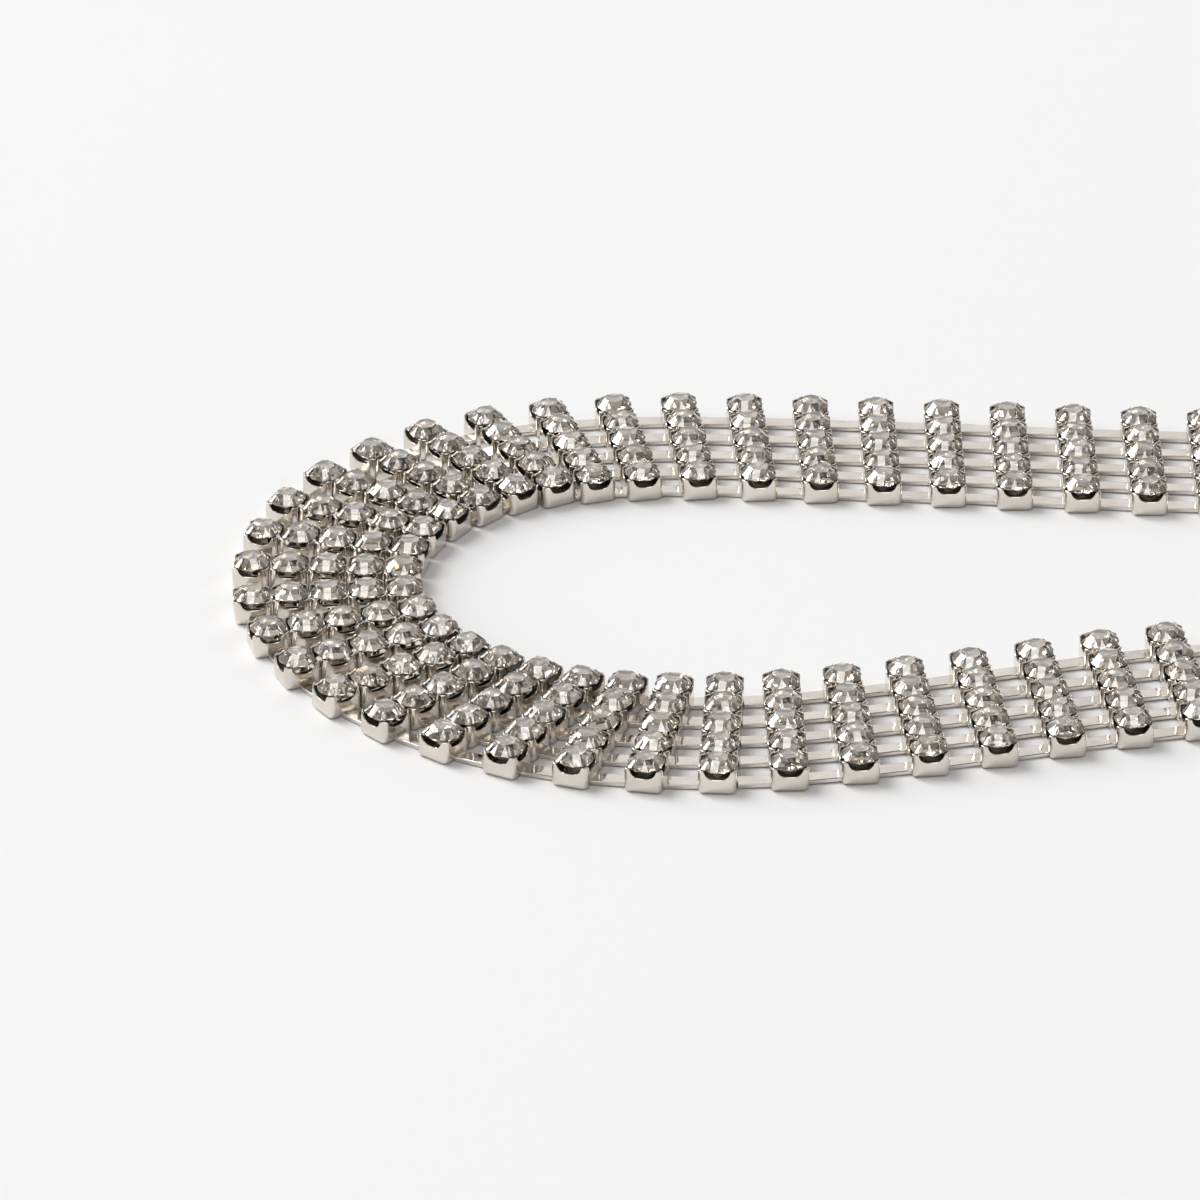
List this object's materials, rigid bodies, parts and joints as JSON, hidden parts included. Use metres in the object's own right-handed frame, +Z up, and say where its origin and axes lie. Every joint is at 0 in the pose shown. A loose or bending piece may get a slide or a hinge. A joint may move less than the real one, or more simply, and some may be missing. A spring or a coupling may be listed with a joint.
{
  "type": "choker necklace",
  "caption": "Choker of cup-set clear crystals in bars across a flat band, bars joined by ribbon links, closed by a plain clasp, lying flat.",
  "frame": {"origin": "middle of the bounding box on the plane that the choker lies on", "axes": "+X along the loop towards the clasp, +Z up, stones face +Z, -Y towards the viewer of the picture"},
  "size_m": [0.1312, 0.0614, 0.0027],
  "materials": {
    "silver_and_crystal": "polished silver plate with clear cut crystals",
    "clasp_silver": "polished silver plate"
  },
  "bodies": {
    "root": {"band_front": "silver_and_crystal", "band_back": "silver_and_crystal", "clasp": "clasp_silver"}
  },
  "joints": []
}
